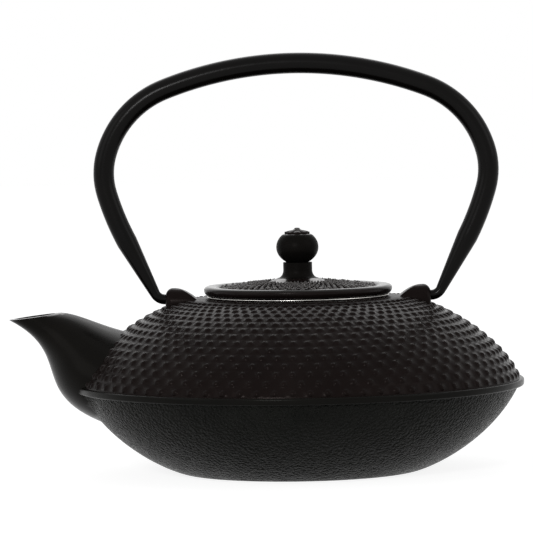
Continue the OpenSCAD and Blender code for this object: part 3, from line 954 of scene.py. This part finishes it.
def make_knob():
    low = -math.acos(knob_foot_r / knob_r)
    high = math.acos(knob_top_r / knob_r)
    centre = collar_top - knob_half * math.sin(low)
    q = np.linspace(low, high, 33)
    oval = np.stack([knob_r * np.cos(q), centre + knob_half * np.sin(q)], 1)
    top = oval[-1, 1]
    profile = np.concatenate([[[rivet_hole_r, collar_top]], oval[:-2],
                              knob_shoulder + [knob_top_r, top], [[rivet_hole_r, top]]])

    def shoulder_or_ball(face):
        return iron_edge if face.center.z > (top - shoulder_h) * MM else iron_knob

    knob = paint(turned("knob_ball", 96, profile), [iron_knob, iron_edge], shoulder_or_ball)
    finish_piece(knob, 40, "lid", "knob")


# ---- rosette and rivet --------------------------------------------------------------------------
PETALS = 8
petal_t = 0.65
petal_spare = 0.75                   # the washer's height less the rise of its dish
petal_cup = 0.28
petal_groove = 0.3


def make_rosette():
    """A thin pressed washer with cupped petals and a groove between each two."""
    low, high = cad_mm("knob_rosette")
    reach = high[0]
    petal_r = reach * math.sin(math.pi / PETALS)
    petal_at = reach - petal_r
    shell = Shell(160)
    turn = shell.turns()
    off = (turn + math.pi / PETALS) % (TAU / PETALS) - math.pi / PETALS
    rim = petal_at * np.cos(off) + np.sqrt(petal_r ** 2 - (petal_at * np.sin(off)) ** 2)
    middle = np.cos(PETALS * off / 2)
    uneven = 1 + 0.25 * np.sin(3 * turn + 0.7) + 0.2 * np.sin(turn + 2.0)     # no two cups alike
    under, over = [], []
    for share in np.linspace(0, 1, 12):
        r = rivet_hole_r + (rim - rivet_hole_r) * share
        dish = (high[2] - low[2] - petal_spare) * (1 - share ** 2)
        groove = petal_groove * (1 - middle ** 0.5) * min(1, 2.5 * share)
        cup = petal_cup * share ** 4 * uneven * middle
        for side, thick in ((under, 0), (over, petal_t + cup - groove)):
            z = np.clip(low[2] + dish + thick, low[2], high[2])
            side.append(shell.add(round_axis(r, turn, z)))
    for a, b in zip([*under, *over[::-1]], [*under[1:], *over[::-1], under[0]]):
        shell.bridge(a, b)
    rosette = paint(shell.piece("rosette"), [iron_rosette])
    finish_piece(rosette, 50, "lid", "knob_rosette")


rivet_slack = 0.1
peen_h = 1.4
head_r = 1.3
head_h = 0.48


def make_rivet():
    """The knob's rivet: a peened end under the lid and a small button on a collar over the petals."""
    low, high = cad_mm("knob_rivet")
    petals_top = cad_mm("knob_rosette")[1][2]
    peen_r, shank_r = high[0], rivet_hole_r - rivet_slack
    peen_top = low[2] + peen_h
    profile = np.concatenate([
        [[peen_r / 2, low[2]], [0.88 * peen_r, low[2] + 0.4], [peen_r, low[2] + 0.95],
         [peen_r, peen_top], [shank_r, peen_top], [shank_r, petals_top - 0.1],
         [2.1, petals_top - 0.1], [1.75, petals_top + 0.15], [1.05, petals_top + 0.45],
         [head_r, high[2] - head_h - 0.04]],
        arc_points([0, 0], 1, 10, 80, 6) * [head_r, head_h] + [0, high[2] - head_h]])
    rivet = paint(turned("rivet", 48, profile, (low[2], high[2])), [steel_rivet])
    finish_piece(rivet, 50, "lid", "knob_rivet")


# ---- infuser ------------------------------------------------------------------------------------
HOLES_ROUND = 96
hole_r = 0.55
hole_step = 2.06                     # from row to row up the wall
hole_foot = 1.0                      # plain sheet over the base ring
hole_spare = 2.4                     # least plain sheet in all, between base ring and rim
infuser_sheet = 0.4


def make_infuser_wall():
    """The basket's side, a tube of perforated sheet."""
    low, high = cad_mm("infuser_wall")
    bottom, top = low[2], high[2]
    ring_top = cad_mm("infuser_base_ring")[1][2]
    rim_foot = cad_mm("infuser_rim")[0][2]
    shell = Shell(2 * HOLES_ROUND)
    surface = profile_surface(np.linspace([basket_r, bottom], [basket_r, top], 50))[0]
    rows = int((rim_foot - ring_top - hole_spare) / hole_step)
    edges = ring_top - bottom + hole_foot + hole_step * np.arange(rows + 1)
    first, last = perforated_band(shell, surface, edges, hole_r, infuser_sheet)
    low_out, high_out = shell.ring(basket_r, bottom), shell.ring(basket_r, top)
    inner_r = basket_r - infuser_sheet
    low_in, high_in = shell.ring(inner_r, bottom), shell.ring(inner_r, top)
    for a, b in ((low_in, low_out), (low_out, first[0]), (last[0], high_out), (high_out, high_in),
                 (high_in, last[1]), (first[1], low_in)):
        shell.bridge(a, b)
    basket = paint(shell.piece("infuser_basket"), [steel_mesh])
    finish_piece(basket, 35, "infuser", "infuser_wall")


def make_infuser_base():
    """The perforated bottom, in three bands, each with half the holes round of the one outside."""
    low, high = cad_mm("infuser_base")
    plate_r, plate_z = high[0], high[2]
    bands = ((plate_r - 1.2, 18.2, 9), (17.4, 9.4, 4), (8.8, 4.8, 2))
    shell = Shell(2 * HOLES_ROUND)
    surface = profile_surface(np.linspace([plate_r, plate_z], [0.5, plate_z], 60))[0]
    sides = (shell.ring(plate_r, plate_z), shell.ring(plate_r, low[2]))
    shell.bridge(sides[1], sides[0])
    for band, (outer_r, inner_r, rows) in enumerate(bands):
        if band:
            shell.columns //= 2
        edges = plate_r - np.linspace(outer_r, inner_r, rows + 1)
        first, last = perforated_band(shell, surface, edges, hole_r, infuser_sheet)
        if band:
            shell.halve(sides[0], first[0], flip=False)
            shell.halve(sides[1], first[1], flip=True)
        else:
            shell.bridge(sides[0], first[0])
            shell.bridge(first[1], sides[1])
        sides = last
    shell.close(sides[0], plate_z, up=True)
    shell.close(sides[1], plate_z - infuser_sheet, up=False)
    plate = paint(shell.piece("infuser_plate"), [steel_mesh])
    finish_piece(plate, 35, "infuser", "infuser_base")


def make_infuser_rim():
    """The flange on which the basket hangs, and the collar that clasps its wall."""
    low, high = cad_mm("infuser_rim")
    rim_r, rim_top, foot = high[0], high[2], low[2]
    rim_z = rim_top - 0.7
    outer_r = basket_r + infuser_sheet
    round_r, fold_r = 0.25, 0.6
    profile = np.concatenate([
        [[basket_r, foot], [outer_r - 0.1, foot], [outer_r, foot + 0.1], [outer_r, rim_z - 0.3],
         [outer_r + 0.3, rim_z], [rim_r - 1.1, rim_z], [rim_r - 0.15, rim_z + 0.32]],
        arc_points([rim_r - round_r, rim_top - round_r], round_r, 0, 90, 4),
        arc_points([basket_r + fold_r, rim_top - fold_r], fold_r, 90, 180, 5)])
    rim = paint(turned("infuser_collar", 160, profile), [steel_infuser])
    finish_piece(rim, 50, "infuser", "infuser_rim")


# ---- carried-over nodes -------------------------------------------------------------------------
def dress(node, material):
    """Gives a CAD node its material."""
    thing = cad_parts[node]
    thing.data.materials.clear()
    thing.data.materials.append(material)


# ---- stage: lamps and camera are placed in metres -----------------------------------------------
def split_rays(tree, lit, seen, output):
    """Shows the shader seen to camera, glossy and transmission rays, and lit to all others."""
    path = add_node(tree, "LightPath")
    eye = path.outputs["Is Camera Ray"]
    for name in ("Is Glossy Ray", "Is Transmission Ray"):
        most = add_node(tree, "Math")
        most.operation = "MAXIMUM"
        tree.links.new(eye, most.inputs[0])
        tree.links.new(path.outputs[name], most.inputs[1])
        eye = most.outputs[0]
    mix = add_node(tree, "MixShader")
    for source, target in zip((eye, lit.outputs[0], seen.outputs[0]), mix.inputs):
        tree.links.new(source, target)
    tree.links.new(mix.outputs[0], add_node(tree, output).inputs[0])


def make_world():
    world = bpy.data.worlds.new("studio")
    bpy.context.scene.world = world
    world.use_nodes = True
    tree = world.node_tree
    tree.nodes.clear()
    fill = add_node(tree, "Background", Strength=0.5)
    white = add_node(tree, "Background", Color=(1, 1, 1, 1), Strength=1.0)
    split_rays(tree, fill, white, "OutputWorld")


def make_floor():
    """A pale floor that is seen as white, with a faint shadow of the pot."""
    far = 4000.0 * np.array([[-1, -1, 0], [1, -1, 0], [1, 1, 0], [-1, 1, 0]])
    floor = new_piece("floor", far, [[0, 1, 2, 3]])
    material = bpy.data.materials.new("floor_white")
    material.use_nodes = True
    tree = material.node_tree
    tree.nodes.clear()
    paint_shader = add_node(tree, "BsdfDiffuse", Color=(0.8, 0.8, 0.8, 1))
    faint = add_node(tree, "BsdfDiffuse", Color=(0.35, 0.35, 0.35, 1))
    glow = add_node(tree, "Emission", Strength=0.87)
    both = add_node(tree, "AddShader")
    tree.links.new(faint.outputs[0], both.inputs[0])
    tree.links.new(glow.outputs[0], both.inputs[1])
    split_rays(tree, paint_shader, both, "OutputMaterial")
    floor.data.materials.append(material)


def area_light(name, place, size, power):
    """A soft lamp that faces the pot."""
    lamp = bpy.data.lights.new(name, "AREA")
    lamp.shape = "RECTANGLE"
    lamp.size, lamp.size_y = size
    lamp.energy = power
    thing = bpy.data.objects.new(name, lamp)
    thing.location = place
    thing.rotation_mode = "QUATERNION"
    pot_middle = Vector((0, 0, 0.08))
    thing.rotation_quaternion = (pot_middle - Vector(place)).to_track_quat("-Z", "Y")
    bpy.context.scene.collection.objects.link(thing)


def make_camera():
    """The photograph's camera: a long lens 1.9 m in front of the pot, a little rolled."""
    roll = math.radians(-0.989)
    focal_pixels, frame_pixels, sensor = 4300, 533, 36.0
    place = Vector((-0.01387, -1.912, 0.1899))
    aim = Vector((-0.01387, 0, 0.09108))
    data = bpy.data.cameras.new("camera")
    data.sensor_width = sensor
    data.lens = focal_pixels / frame_pixels * sensor
    data.clip_start, data.clip_end = 0.1, 20
    camera = bpy.data.objects.new("camera", data)
    camera.location = place
    level = (aim - place).to_track_quat("-Z", "Y").to_matrix().to_4x4()
    camera.rotation_mode = "QUATERNION"
    camera.rotation_quaternion = (level @ Matrix.Rotation(roll, 4, "Z")).to_quaternion()
    bpy.context.scene.collection.objects.link(camera)
    bpy.context.scene.camera = camera


make_camera()
make_world()
make_floor()
area_light("overhead", (0, 1.2, 1.08), (1.4, 0.9), 4.6)
area_light("left_fill", (-1.4, -0.8, 0.7), (0.8, 1.0), 2.6)
area_light("right_fill", (1.4, -0.6, 0.8), (0.8, 1.0), 3.2)
area_light("front_key", (-0.55, -2.05, 0.85), (0.3, 0.3), 14)

make_pot()
make_bail()
make_lid()
make_knob()
make_rosette()
make_rivet()
make_infuser_wall()
make_infuser_base()
make_infuser_rim()
dress("rivet_washer", steel_washer)
dress("infuser_base_ring", steel_infuser)

bpy.context.scene.view_settings.view_transform = "Standard"
